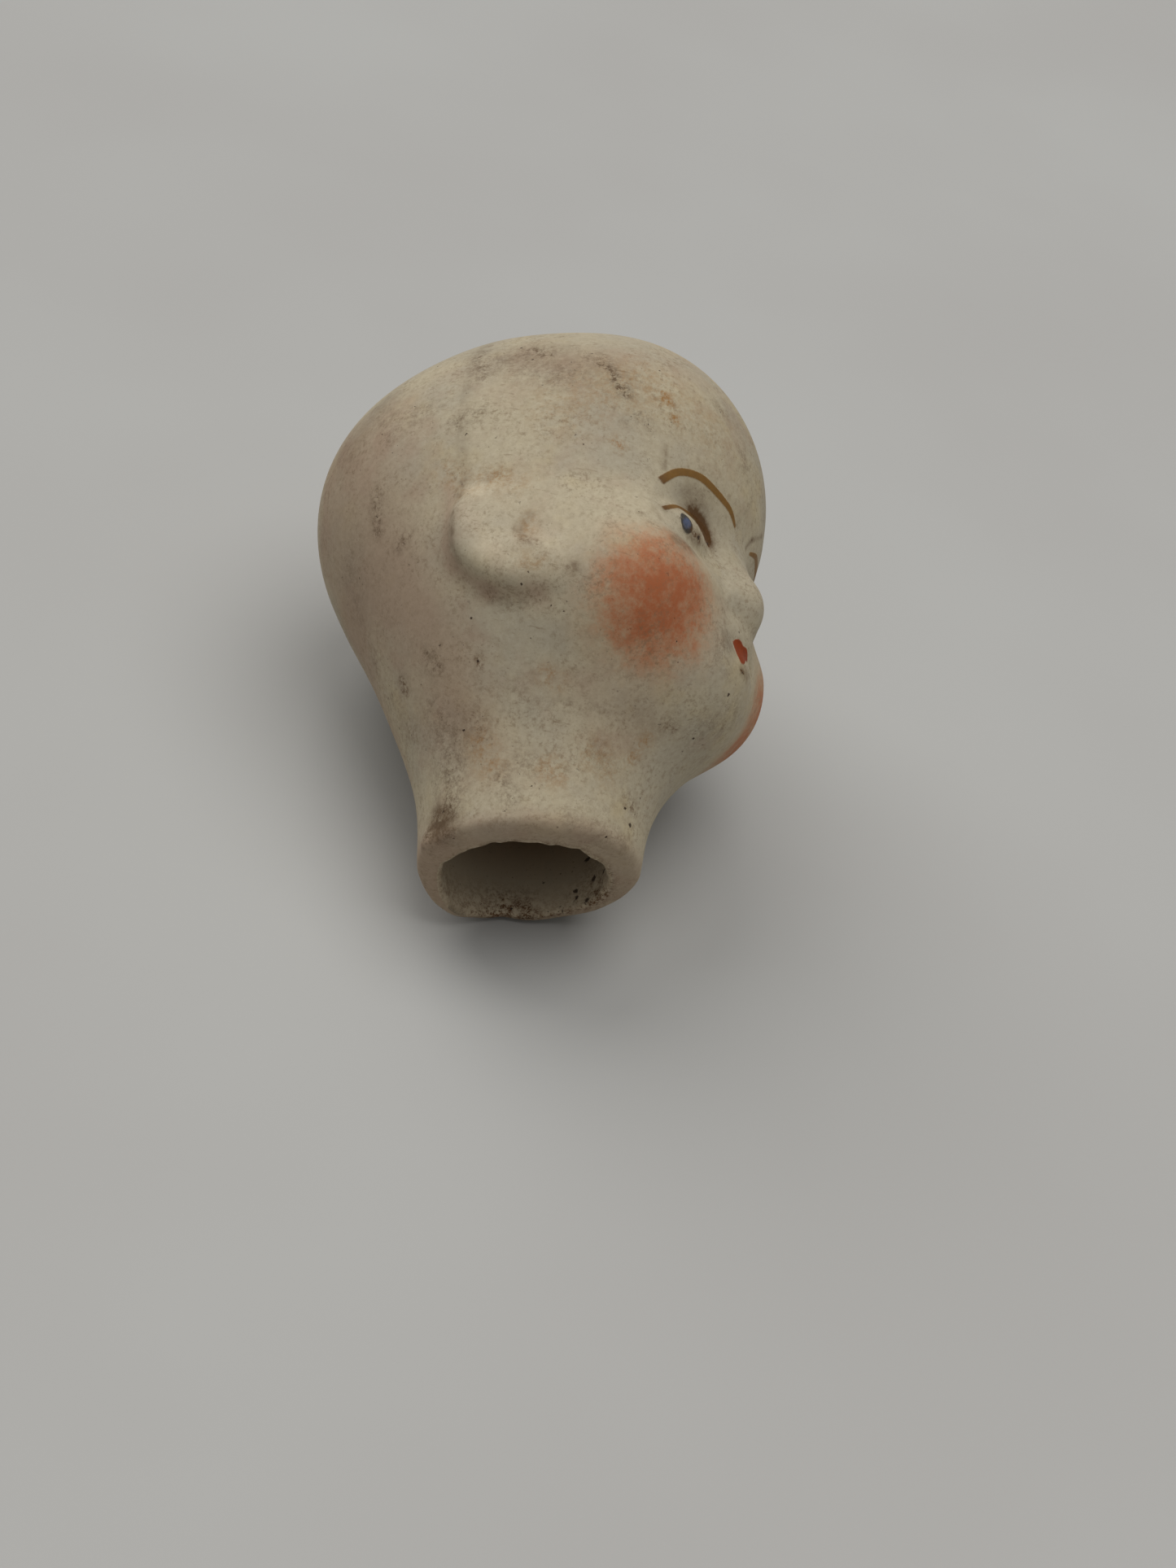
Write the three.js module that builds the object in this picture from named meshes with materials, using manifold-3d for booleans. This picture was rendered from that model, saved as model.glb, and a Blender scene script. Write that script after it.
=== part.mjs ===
// Small hollow bisque doll head: one slip-cast porcelain shell with moulded ears and an open neck,
// and the painted strokes that were fired onto it. Millimetres, +Z up.
//
// The head is described upright, in its own axes: +X is the way the face looks, +Y is the doll's
// left, +Z is the crown, and the origin is the middle of the neck's rim. At the end it is laid
// down on its left side, the way it rests on a table.

import * as THREE from 'three';
import { mergeVertices } from 'three/addons/utils/BufferGeometryUtils.js';
import Module from 'manifold-3d';

const wasm = await Module();
wasm.setup();

// Driving dimensions of the casting
const wall = 2.1; // thickness of the porcelain
const rim_round = 0.7; // rounding of the rim's outer edge
const bore_lip = 0.25; // broken inner edge of the rim
const bore_aside = 0.6; // how far the poured bore sits towards the doll's left
const bore_back = 0.6; // and towards its back
const bore_fade = 16; // height over which the bore comes back to the middle
const overrun = 1; // how far a cutting core passes the face that it opens

// Round forms that blend into the head: middle x, y, z, half sizes long (x), wide (y), high (z),
// and blend, the width of the fillet to what is already there
const skull = { x: 0.3, y: 0, z: 28.4, long: 14.9, wide: 15.9, high: 19.2 };
const occiput = { x: -6.1, y: 0, z: 31.2, long: 11.8, wide: 14.5, high: 11.9, blend: 5 };
const forehead = { x: 7.9, y: 0, z: 33, long: 10.5, wide: 12.9, high: 12, blend: 4 };
const face = { x: 4, y: 0, z: 21, long: 12.4, wide: 13.8, high: 12.4, blend: 5 };
const cheek = { x: 9.1, y: 7.5, z: 18.5, long: 6.8, wide: 6.7, high: 6.2, blend: 3 };
const chin = { x: 11.4, y: 0, z: 14.5, long: 5.1, wide: 6.3, high: 4.5, blend: 4 };
const neck = { top_x: 0.1, top_z: 22, top_radius: 11.2, rim_radius: 8.1, blend: 6 };

const taper_end_share = 1.5; // how far past its second end a taper still runs, of its length

// Relief of the face
const socket = { x: 18.9, y: 7.6, z: 24.0, long: 4, wide: 5.6, high: 3.4, blend: 2.6 };
const root_dip = { x: 20.4, y: 0, z: 25.2, long: 3.2, wide: 4.2, high: 3, blend: 2 };
const eyeball = { x: 12.0, y: 6.2, z: 23.3, long: 3.7, wide: 4.6, high: 2.4, blend: 0.5 };
const mouth_dip = { x: 20.1, y: 0, z: 16, long: 2.9, wide: 3.3, high: 3.6, blend: 2 };
const bridge = { top_x: 14.6, top_z: 24.6, tip_x: 15.9, tip_z: 21.4, radius: 1.4, blend: 2.4 };
const nose_tip = { x: 16.1, y: 0, z: 20.7, long: 2.3, wide: 2.4, high: 2.1, blend: 1.0 };
const nostril = { x: 15.5, y: 2.1, z: 20.0, long: 1.7, wide: 1.3, high: 1.3, blend: 0.8 };
const upper_lip = { x: 15.6, y: 0, z: 17.2, long: 1.5, wide: 2.6, high: 1.2, blend: 1.1 };
const lower_lip = { x: 15.4, y: 0, z: 14.8, long: 1.6, wide: 2.2, high: 1.2, blend: 1.2 };

// Moulded ear: a raised plate with a shallow bowl, steep at the back and below, flush in front
const ear = {
  x: 4.5, y: 14.3, z: 20.4, half_length: 5.4, half_height: 4.7, rise: 1.35, edge_round: 1.8, blend: 1,
  face_forward: 17, face_up: -1, lean_back: 4, squareness: 3,
};
const ear_bowl = { forward: 0.8, up: 0.3, half_length: 2.4, half_height: 1.4, depth: 0.45 };

// Fired paint: the enamel's thickness, and the clearance that keeps it a layer of its own
const film = 0.15;
const film_gap = 0.05;
const film_edge_share = 0.45; // thickness left at a film's border

// Brow and eyelid line, as seen from the front: middle y outward and z, half sizes, and the
// stroke's widths at its outer end and its inner tip
const brow = { y: 5.95, z: 27.1, half_wide: 4.25, half_high: 1, width: 0.5, tip_width: 0.16 };
const brow_shares = [[-1, -0.5], [-0.55, 0.35], [0, 0.9], [0.35, 1], [0.72, 0.45], [1, -1]];
const lid_line = { y: 7.2, z: 24.3, half_wide: 3.3, half_high: 0.95, width: 0.3, tip_width: 0.2 };
const lid_line_shares = [[-1, -0.2], [-0.9, 0.5], [-0.5, 1], [-0.1, 0.9], [0.4, 0.4], [1, -1]];

// Iris, which leans outward at its top, and lips, whose paint sits a little to one side
const iris = { y: 8.4, z: 23.1, half_width: 0.63, half_height: 0.72 };
const iris_lean_share = 0.4; // how far it rises outward, of the distance from its middle
const lips = { y: -0.5, z: 16, half_width: 1.45, peak: 0.75, bottom: 1.5 };
const dent_width_share = 0.32; // how wide the dip between the upper lip's two peaks is, of its half width
const dent_share = 0.3; // how far the lip dips between them, of the peaks' height
const end_share = 0.12; // half height that a spot keeps at its two ends, of its full one

// The mesh: a fan of rays from a hub inside the skull, then level rays down the neck
const hub = { x: 0.5, z: 29 };
const reach = skull.long + skull.high; // a start that lies outside the head along every ray
const stride = 6;
const back_stride = 0.5;
const probe = 0.02;
const trace_steps = 60;
const trace_share = 0.85; // share of the distance to the skin that one step along a ray goes
const spread_steps = 1440;
const stroke_steps = 12;
const iris_steps = 8;
const lip_steps = 14;
const spot_strips = 4;
const outer_columns = 96;
const outer_rings = 50;
const core_columns = 44;
const core_rings = 16;
const rim_steps = 3;
const fan_share = 0.76; // share of the rings that the fan takes, the rest go down the neck
const fan_low = -48; // the fan's lowest ray, degrees
const face_crowding = { at: 0, width: 38, gain: 4.2 }; // degrees round the head, and how much denser
const ear_crowding = { at: 76, width: 17, gain: 2.6 };
const relief_crowding = { at: -25, width: 24, gain: 1.6 }; // the same for the rings, degrees up

// How it lies, in degrees: rolled onto its left side about the way the face looks, then tipped so
// that the face looks up. It touches the table with the rim's edge, the ear and the occiput.
const rest_roll = -69;
const rest_tip = -30;

const bisque_colour = 0xcfc3a9;
const bisque_roughness = 0.8;
const enamel_roughness = 0.4;
const brow_colour = 0x8a5a22;
const iris_colour = 0x5b6f96;
const lip_colour = 0xa8401f;

const half = 1 / 2;
const radians = (degrees) => (degrees * Math.PI) / 180;

// Distance fields

function ellipsoid(p, form) {
  const side = Math.abs(p.y);
  const x = p.x - form.x;
  const y = (form.y > 0 ? side : p.y) - form.y;
  const z = p.z - form.z;
  const near = Math.hypot(x / form.long, y / form.wide, z / form.high);
  const slope = Math.hypot(x / form.long ** 2, y / form.wide ** 2, z / form.high ** 2);
  if (slope === 0) return -Math.min(form.long, form.wide, form.high);
  return (near * (near - 1)) / slope;
}

function taper(p, a, b, radius_a, radius_b) {
  const axis = b.clone().sub(a);
  const along = p.clone().sub(a).dot(axis) / axis.lengthSq();
  const share = THREE.MathUtils.clamp(along, 0, taper_end_share);
  const nearest = a.clone().addScaledVector(axis, share);
  return p.distanceTo(nearest) - THREE.MathUtils.lerp(radius_a, radius_b, share);
}

function join(a, b, blend) {
  const share = THREE.MathUtils.clamp(half + (half * (b - a)) / blend, 0, 1);
  return b + (a - b) * share - blend * share * (1 - share);
}

function cut(a, b, blend) {
  return -join(-a, b, blend);
}

// The plain head, which the inside of the casting follows as well
function head_field(p) {
  let d = ellipsoid(p, skull);
  for (const form of [occiput, forehead, face, cheek, chin]) {
    d = join(d, ellipsoid(p, form), form.blend);
  }
  const top = new THREE.Vector3(neck.top_x, 0, neck.top_z);
  const rim = new THREE.Vector3(0, 0, 0);
  return join(d, taper(p, top, rim, neck.top_radius, neck.rim_radius), neck.blend);
}

function ear_field(p) {
  const turn = radians(ear.face_forward);
  const tip = radians(ear.face_up);
  const lean = radians(ear.lean_back);
  const q = new THREE.Vector3(p.x - ear.x, Math.abs(p.y) - ear.y, p.z - ear.z);
  const level_out = new THREE.Vector3(Math.sin(turn), Math.cos(turn), 0);
  const forward = new THREE.Vector3(Math.cos(turn), -Math.sin(turn), 0);
  const up = new THREE.Vector3(0, 0, 1);
  const out = level_out.clone().multiplyScalar(Math.cos(tip)).addScaledVector(up, Math.sin(tip));
  const rise = up.clone().multiplyScalar(Math.cos(tip)).addScaledVector(level_out, -Math.sin(tip));
  const along = q.dot(forward);
  const high = q.dot(rise);
  const u = along * Math.cos(lean) + high * Math.sin(lean);
  const v = high * Math.cos(lean) - along * Math.sin(lean);
  const power = ear.squareness;
  const reach_u = Math.abs(u / ear.half_length) ** power;
  const reach_v = Math.abs(v / ear.half_height) ** power;
  const size = Math.min(ear.half_length, ear.half_height);
  const outline = ((reach_u + reach_v) ** (1 / power) - 1) * size;
  const bowl_u = (u - ear_bowl.forward) / ear_bowl.half_length;
  const bowl_v = (v - ear_bowl.up) / ear_bowl.half_height;
  const bowl = ear_bowl.depth * Math.exp(-(bowl_u ** 2 + bowl_v ** 2));
  return cut(outline, ear.rise - bowl - q.dot(out), ear.edge_round);
}

// The outside, with the moulded face and ears
function skin_field(p) {
  let d = head_field(p);
  d = cut(d, ellipsoid(p, socket), socket.blend);
  d = cut(d, ellipsoid(p, root_dip), root_dip.blend);
  d = join(d, ellipsoid(p, eyeball), eyeball.blend);
  d = cut(d, ellipsoid(p, mouth_dip), mouth_dip.blend);
  const root = new THREE.Vector3(bridge.top_x, 0, bridge.top_z);
  const tip = new THREE.Vector3(bridge.tip_x, 0, bridge.tip_z);
  d = join(d, taper(p, root, tip, bridge.radius, bridge.radius), bridge.blend);
  for (const form of [nose_tip, nostril, upper_lip, lower_lip]) {
    d = join(d, ellipsoid(p, form), form.blend);
  }
  return join(d, ear_field(p), ear.blend);
}

// Meeting a ray from outside with a field
function meet(field, origin, direction, level = 0) {
  let far = reach;
  const p = new THREE.Vector3();
  for (let step = 0; step < trace_steps; step += 1) {
    p.copy(origin).addScaledVector(direction, far);
    far -= trace_share * THREE.MathUtils.clamp(field(p) - level, -back_stride, stride);
  }
  return p.copy(origin).addScaledVector(direction, far);
}

function normal_at(field, p) {
  const slope = (axis) => {
    const step = new THREE.Vector3().setComponent(axis, probe);
    return field(p.clone().add(step)) - field(p.clone().sub(step));
  };
  return new THREE.Vector3(slope(0), slope(1), slope(2)).normalize();
}

// Even places from one angle to another, closer together round each crowded angle
function spread(count, from, to, crowded) {
  const density = (angle) => crowded.reduce(
    (sum, form) => sum + form.gain * Math.exp(-(((angle - form.at) / form.width) ** 2)), 1,
  );
  const sums = [0];
  for (let i = 0; i < spread_steps; i += 1) {
    const share = (i + half) / spread_steps;
    sums.push(sums[i] + density(THREE.MathUtils.lerp(from, to, share)));
  }
  const places = [];
  let at = 0;
  for (let place = 0; place < count; place += 1) {
    const wanted = (sums[spread_steps] * (place + half)) / count;
    while (sums[at + 1] < wanted) at += 1;
    const share = (wanted - sums[at]) / (sums[at + 1] - sums[at]);
    places.push(radians(THREE.MathUtils.lerp(from, to, (at + share) / spread_steps)));
  }
  return places;
}

function column_angles(count) {
  const other_ear = { ...ear_crowding, at: -ear_crowding.at };
  return spread(count, -180, 180, [face_crowding, ear_crowding, other_ear]);
}

// A ray of a ring: level at the height end_z in the neck when down is 1, from the hub when it is 0
function ring_ray(height, down, angle, end_z) {
  const origin = new THREE.Vector3(hub.x * (1 - down), 0, THREE.MathUtils.lerp(hub.z, end_z, down));
  const level = Math.cos(height);
  const direction = new THREE.Vector3(level * Math.cos(angle), level * Math.sin(angle), Math.sin(height));
  return [origin, direction];
}

function ringed_rows(field, level, angles, rings, end_z) {
  const fan_rings = Math.round(rings * fan_share);
  const heights = spread(fan_rings, 90, fan_low, [relief_crowding]).map((height) => [height, 0]);
  const neck_rings = rings - fan_rings;
  for (let ring = 1; ring <= neck_rings; ring += 1) {
    const down = ring / neck_rings;
    heights.push([radians(fan_low * (1 - down)), down]);
  }
  return heights.map(([height, down]) => (
    angles.map((angle) => meet(field, ...ring_ray(height, down, angle, end_z), level))
  ));
}

// A closed body from rings of equal length between two end points
function ringed_body(first, rows, last) {
  const count = rows[0].length;
  const points = [first, ...rows.flat(), last];
  const faces = [];
  for (let column = 0; column < count; column += 1) {
    const next = (column + 1) % count;
    faces.push(0, 1 + column, 1 + next);
    for (let ring = 0; ring < rows.length - 1; ring += 1) {
      const a = 1 + ring * count + column;
      const b = 1 + ring * count + next;
      faces.push(a, a + count, b + count, a, b + count, b);
    }
    const foot = 1 + (rows.length - 1) * count;
    faces.push(foot + column, points.length - 1, foot + next);
  }
  return geometry_of(points, faces);
}

function geometry_of(points, faces) {
  const geometry = new THREE.BufferGeometry();
  geometry.setAttribute('position', new THREE.Float32BufferAttribute(points.flatMap((p) => p.toArray()), 3));
  geometry.setIndex(faces);
  return geometry;
}

function solid_of(geometry) {
  const merged = mergeVertices(geometry);
  const vertProperties = new Float32Array(merged.attributes.position.array);
  const triVerts = new Uint32Array(merged.index.array);
  return new wasm.Manifold(new wasm.Mesh({ numProp: 3, vertProperties, triVerts }));
}

function geometry_from(solid) {
  const mesh = solid.getMesh();
  const geometry = new THREE.BufferGeometry();
  geometry.setAttribute('position', new THREE.Float32BufferAttribute(mesh.vertProperties, 3));
  geometry.setIndex(Array.from(mesh.triVerts));
  return geometry;
}

// The outside of the casting, closed flat across the neck, with its rim's edge rounded
function outer_body() {
  const angles = column_angles(outer_columns);
  const rows = ringed_rows(skin_field, 0, angles, outer_rings, rim_round);
  const edge = rows[rows.length - 1];
  for (let step = 1; step <= rim_steps; step += 1) {
    const turn = radians((90 * step) / rim_steps);
    const inset = rim_round * (1 - Math.cos(turn));
    rows.push(edge.map((p) => {
      const radius = Math.hypot(p.x, p.y);
      const scale = (radius - inset) / radius;
      return new THREE.Vector3(p.x * scale, p.y * scale, rim_round * (1 - Math.sin(turn)));
    }));
  }
  const crown = meet(skin_field, ...ring_ray(radians(90), 0, 0, rim_round));
  return ringed_body(crown, rows, new THREE.Vector3(0, 0, 0));
}

// The hollow that the drained slip leaves: the plain head drawn in by the wall, and the bore
function core_body() {
  const angles = column_angles(core_columns);
  const rows = ringed_rows(head_field, -wall, angles, core_rings, bore_lip);
  const aside = (p) => {
    const share = 1 - THREE.MathUtils.smoothstep(p.z, 0, bore_fade);
    return new THREE.Vector3(p.x - bore_back * share, p.y + bore_aside * share, p.z);
  };
  const bore = rows.map((row) => row.map(aside));
  const edge = bore[bore.length - 1];
  for (const drop of [0, overrun]) {
    bore.push(edge.map((p) => {
      const x = p.x + bore_back;
      const y = p.y - bore_aside;
      const scale = 1 + bore_lip / Math.hypot(x, y);
      return new THREE.Vector3(x * scale - bore_back, y * scale + bore_aside, -drop);
    }));
  }
  const crown = meet(head_field, ...ring_ray(radians(90), 0, 0, bore_lip), -wall);
  return ringed_body(crown, bore, new THREE.Vector3(-bore_back, bore_aside, -overrun));
}

function bisque_shell() {
  return solid_of(outer_body()).subtract(solid_of(core_body()));
}

// Fired paint. A film is a grid of front-view points, each carried onto the skin.
function on_casting(casting, y, z, lift) {
  const ray = new THREE.Raycaster(new THREE.Vector3(reach, y, z), new THREE.Vector3(-1, 0, 0));
  const p = ray.intersectObject(casting)[0].point;
  return p.addScaledVector(normal_at(skin_field, p), lift);
}

// rows of [y, z, edge], where edge is true at the film's border
function film_body(rows, casting) {
  const under = rows.map((row) => row.map(([y, z]) => on_casting(casting, y, z, film_gap)));
  const over = rows.map((row) => row.map(([y, z, edge]) => (
    on_casting(casting, y, z, film_gap + film * (edge ? film_edge_share : 1))
  )));
  const wide = rows[0].length;
  const points = [...under.flat(), ...over.flat()];
  const top = rows.length * wide;
  const faces = [];
  const quad = (a, b, c, d) => faces.push(a, b, c, a, c, d);
  for (let i = 0; i < rows.length - 1; i += 1) {
    for (let j = 0; j < wide - 1; j += 1) {
      const a = i * wide + j;
      quad(a, a + wide, a + wide + 1, a + 1);
      quad(top + a, top + a + 1, top + a + wide + 1, top + a + wide);
    }
    const left = i * wide;
    const right = left + wide - 1;
    quad(left, top + left, top + left + wide, left + wide);
    quad(right, right + wide, top + right + wide, top + right);
  }
  for (let j = 0; j < wide - 1; j += 1) {
    const last = (rows.length - 1) * wide + j;
    quad(j, j + 1, top + j + 1, top + j);
    quad(last, top + last, top + last + 1, last + 1);
  }
  const geometry = geometry_of(points, faces);
  if (solid_volume(geometry) < 0) turn_faces(geometry);
  return geometry;
}

function solid_volume(geometry) {
  const p = geometry.attributes.position;
  const [a, b, c] = [new THREE.Vector3(), new THREE.Vector3(), new THREE.Vector3()];
  let six = 0;
  for (let i = 0; i < geometry.index.count; i += 3) {
    a.fromBufferAttribute(p, geometry.index.getX(i));
    b.fromBufferAttribute(p, geometry.index.getX(i + 1));
    c.fromBufferAttribute(p, geometry.index.getX(i + 2));
    six += a.dot(b.cross(c));
  }
  return six / 6;
}

function turn_faces(geometry) {
  const index = Array.from(geometry.index.array);
  for (let i = 0; i < index.length; i += 3) {
    [index[i + 1], index[i + 2]] = [index[i + 2], index[i + 1]];
  }
  geometry.setIndex(index);
}

// A brush stroke along a smooth line, which thins towards its inner tip
function stroke(form, shares, side, casting) {
  const line = new THREE.CatmullRomCurve3(shares.map(([out, up]) => (
    new THREE.Vector3(0, side * (form.y + form.half_wide * out), form.z + form.half_high * up)
  )));
  const rows = [];
  for (let i = 0; i <= stroke_steps; i += 1) {
    const share = i / stroke_steps;
    const p = line.getPoint(share);
    const along = line.getTangent(share);
    const swell = Math.sqrt(Math.sin((Math.PI / 2) * share));
    const reach_across = THREE.MathUtils.lerp(form.tip_width, form.width, swell) / 2;
    const end = i === 0 || i === stroke_steps;
    rows.push([-1, 0, 1].map((across) => [
      p.y - across * reach_across * along.z, p.z + across * reach_across * along.y, end || across !== 0,
    ]));
  }
  return film_body(rows, casting);
}

// A filled spot, cut across into strips from its low border to its high one
function spot(middle_y, half_width, low, high, steps, casting) {
  const rows = [];
  for (let i = 0; i <= steps; i += 1) {
    const across = Math.cos((Math.PI * i) / steps);
    const y = middle_y + half_width * across;
    const end = i === 0 || i === steps;
    const row = [];
    for (let strip = 0; strip <= spot_strips; strip += 1) {
      const z = THREE.MathUtils.lerp(low(across), high(across), strip / spot_strips);
      row.push([y, z, end || strip === 0 || strip === spot_strips]);
    }
    rows.push(row);
  }
  return film_body(rows, casting);
}

function round_half(across) {
  return Math.max(end_share, Math.sqrt(Math.max(0, 1 - across ** 2)));
}

function iris_spot(side, casting) {
  const middle = (across) => iris.z + side * across * iris.half_width * iris_lean_share;
  const low = (across) => middle(across) - iris.half_height * round_half(across);
  const high = (across) => middle(across) + iris.half_height * round_half(across);
  return spot(side * iris.y, iris.half_width, low, high, iris_steps, casting);
}

// A small rosebud mouth: two low peaks above, one rounded point below
function mouth_spot(casting) {
  const high = (across) => {
    const dip = 1 - dent_share * Math.exp(-((across / dent_width_share) ** 2));
    return lips.z + lips.peak * round_half(across) * dip;
  };
  const low = (across) => lips.z - lips.bottom * round_half(across) ** 2;
  return spot(lips.y, lips.half_width, low, high, lip_steps, casting);
}

const head = new THREE.Group();

function add(name, geometry, colour, roughness) {
  geometry.computeVertexNormals();
  const material = new THREE.MeshStandardMaterial({ color: colour, roughness, metalness: 0 });
  const mesh = new THREE.Mesh(geometry, material);
  mesh.name = name;
  head.add(mesh);
  return mesh;
}

const shell = add('bisque_head', geometry_from(bisque_shell()), bisque_colour, bisque_roughness);
for (const [name, side] of [['right', -1], ['left', 1]]) {
  add(`${name}_brow_enamel`, stroke(brow, brow_shares, side, shell), brow_colour, enamel_roughness);
  const lid = stroke(lid_line, lid_line_shares, side, shell);
  add(`${name}_lid_line_enamel`, lid, brow_colour, enamel_roughness);
  add(`${name}_iris_enamel`, iris_spot(side, shell), iris_colour, enamel_roughness);
}
add('lip_enamel', mouth_spot(shell), lip_colour, enamel_roughness);

// Laid down: turned, then set on the table with the middle of its outline at x = y = 0
head.rotation.set(radians(rest_roll), radians(rest_tip), 0, 'YXZ');
const part = new THREE.Group();
part.add(head);
part.updateMatrixWorld(true);
const bounds = new THREE.Box3().setFromObject(part, true);
const middle = bounds.getCenter(new THREE.Vector3());
head.position.set(-middle.x, -middle.y, -bounds.min.z);
export default part;
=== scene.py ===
"""The dressed scene of a small bisque doll head: its fine casting, fired paint, dust and light."""

import math

import bpy
import numpy as np
from mathutils import Euler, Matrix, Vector


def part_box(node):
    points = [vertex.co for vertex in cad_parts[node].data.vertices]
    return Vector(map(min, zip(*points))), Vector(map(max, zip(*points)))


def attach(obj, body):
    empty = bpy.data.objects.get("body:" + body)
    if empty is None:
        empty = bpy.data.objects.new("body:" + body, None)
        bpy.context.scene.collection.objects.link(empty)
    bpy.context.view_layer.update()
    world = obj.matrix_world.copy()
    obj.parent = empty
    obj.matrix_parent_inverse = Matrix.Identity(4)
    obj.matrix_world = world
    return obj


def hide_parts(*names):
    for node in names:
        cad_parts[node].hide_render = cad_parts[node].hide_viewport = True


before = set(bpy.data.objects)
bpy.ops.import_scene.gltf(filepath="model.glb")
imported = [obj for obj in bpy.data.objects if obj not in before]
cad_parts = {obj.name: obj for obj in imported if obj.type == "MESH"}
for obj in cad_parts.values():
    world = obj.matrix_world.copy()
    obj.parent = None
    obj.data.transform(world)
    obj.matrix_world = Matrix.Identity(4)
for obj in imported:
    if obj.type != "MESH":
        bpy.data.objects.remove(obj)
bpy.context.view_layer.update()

mm = 0.001

# Driving dimensions of the casting, in millimetres
wall = 2.1
rim_round = 1.0
bore_lip = 0.25
bore_aside = 0.6
bore_back = 0.6
bore_fade = 16.0
bore_middle = (-bore_back, bore_aside)

# Round forms of the upright head, its rim at z 0: middle x, y, z, half sizes long (x), wide (y), high (z),
# and blend. A middle y above zero stands for one on each side
skull = dict(x=0.3, y=0, z=28.4, long=14.9, wide=15.9, high=19.2)
occiput = dict(x=-6.1, y=0, z=31.2, long=11.8, wide=14.5, high=11.9, blend=5)
forehead = dict(x=7.9, y=0, z=33, long=10.5, wide=12.9, high=12, blend=4)
face = dict(x=4, y=0, z=21, long=12.4, wide=13.8, high=12.4, blend=5)
cheek = dict(x=9.1, y=7.5, z=18.5, long=6.8, wide=6.7, high=6.2, blend=3)
chin = dict(x=11.4, y=0, z=14.5, long=5.1, wide=6.3, high=4.5, blend=4)
neck = dict(top_x=0.1, top_z=22, top_radius=11.2, rim_radius=8.1, blend=6)
taper_end_share = 1.5

# Relief of the face
socket = dict(x=18.9, y=7.6, z=24.0, long=4, wide=5.6, high=3.4, blend=2.6)
root_dip = dict(x=20.4, y=0, z=25.2, long=3.2, wide=4.2, high=3, blend=2)
eyeball = dict(x=12.0, y=6.2, z=23.3, long=3.7, wide=4.6, high=2.4, blend=0.5)
mouth_dip = dict(x=20.1, y=0, z=16, long=2.9, wide=3.3, high=3.6, blend=2)
bridge = dict(top_x=14.6, top_z=24.6, tip_x=15.9, tip_z=21.4, radius=1.4, blend=2.4)
nose_tip = dict(x=16.1, y=0, z=20.7, long=2.3, wide=2.4, high=2.1, blend=1.0)
nostril = dict(x=15.5, y=2.1, z=20.0, long=1.7, wide=1.3, high=1.3, blend=0.8)
upper_lip = dict(x=15.6, y=0, z=17.2, long=1.5, wide=2.6, high=1.2, blend=1.1)
lower_lip = dict(x=15.4, y=0, z=14.8, long=1.6, wide=2.2, high=1.2, blend=1.2)

# The ear: middle, half sizes, how far it stands out, the rounding of its edge, and its turns in degrees
ear = dict(
    x=4.5, y=14.3, z=20.2, half_length=5.5, half_height=4.5, rise=1.25, edge_round=1.8, blend=1,
    face_forward=17, face_up=2, lean_back=4, squareness=3,
)
ear_bowl = dict(forward=0.6, up=0.0, half_length=2.0, half_height=1.2, depth=0.28)
ear_ridge = dict(back=-0.4, front=2.2, high=-1.0, low=-2.2, width=1.3, rise=0.35)
ear_soft_round = 2.0
ear_crisp_round = 0.8
ear_corner = dict(turn=48, reach=4.6, blend=1.6)
corner_turn = math.radians(ear_corner["turn"])
ear_low_share = 0.9
ear_high_share = 0.8
ear_back_share = 0.6

# The lump of flash beside the rim
flash = dict(x=-5.35, y=-5.6, z=1.1, long=0.8, wide=0.8, high=0.7, blend=0.8)

# How it lies, in degrees
rest_roll = -69
rest_tip = -30

# The photograph's camera: place in millimetres, turn in degrees, and focal length in its pixels
camera_place = (2.05, -146.34, 130.55)
camera_turn = (47.112, -10.994, 7.966)
photo_wide = 1445
photo_high = 1927
photo_focal = 2876
sensor = 36.0

# The mesh: a fan of rays from a hub inside the skull, then level rays down the neck
hub_x = 0.5
hub_z = 29.0
reach = skull["long"] + skull["high"]

# How a point is moved to the skin: its longest steps in and back, and when it has arrived
stride = 6.0
back_stride = 0.5
probe = 0.02
trace_steps = 70
trace_share = 0.85
trace_done = 0.0005
tiny = 1e-9
tiny_share = 1e-12

# How many rays there are, and the angles in degrees where they crowd
columns = 300
outer_rings = 240
inner_rings = 40
rim_steps = 5
rim_flat_steps = 5
fan_share = 0.8
fan_top = 90.0
fan_low = -48.0
fine_steps = 4001
face_crowding = dict(at=0, width=38, gain=3.4)
ear_crowding = dict(at=76, width=17, gain=2.2)
relief_crowding = dict(at=-25, width=24, gain=1.6)


# Distance fields

def smooth_share(value, low, high):
    """0 up to low, 1 from high on, and a smooth step between."""
    share = np.clip((value - low) / (high - low), 0, 1)
    return share * share * (3 - 2 * share)


def ellipsoid(p, form):
    across = np.abs(p[:, 1]) if form["y"] > 0 else p[:, 1]
    long, wide, high = form["long"], form["wide"], form["high"]
    x = p[:, 0] - form["x"]
    y = across - form["y"]
    z = p[:, 2] - form["z"]
    near = np.sqrt((x / long) ** 2 + (y / wide) ** 2 + (z / high) ** 2)
    slope = np.sqrt((x / long ** 2) ** 2 + (y / wide ** 2) ** 2 + (z / high ** 2) ** 2)
    return near * (near - 1) / np.maximum(slope, tiny)


def taper(p, a, b, radius_a, radius_b):
    axis = b - a
    along = (p - a) @ axis / (axis @ axis)
    share = np.clip(along, 0, taper_end_share)
    nearest = a + share[:, None] * axis
    return np.linalg.norm(p - nearest, axis=1) - (radius_a + (radius_b - radius_a) * share)


def join(a, b, blend):
    """Both forms as one, with a fillet as wide as the blend."""
    share = np.clip(0.5 + 0.5 * (b - a) / blend, 0, 1)
    return b + (a - b) * share - blend * share * (1 - share)


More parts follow.
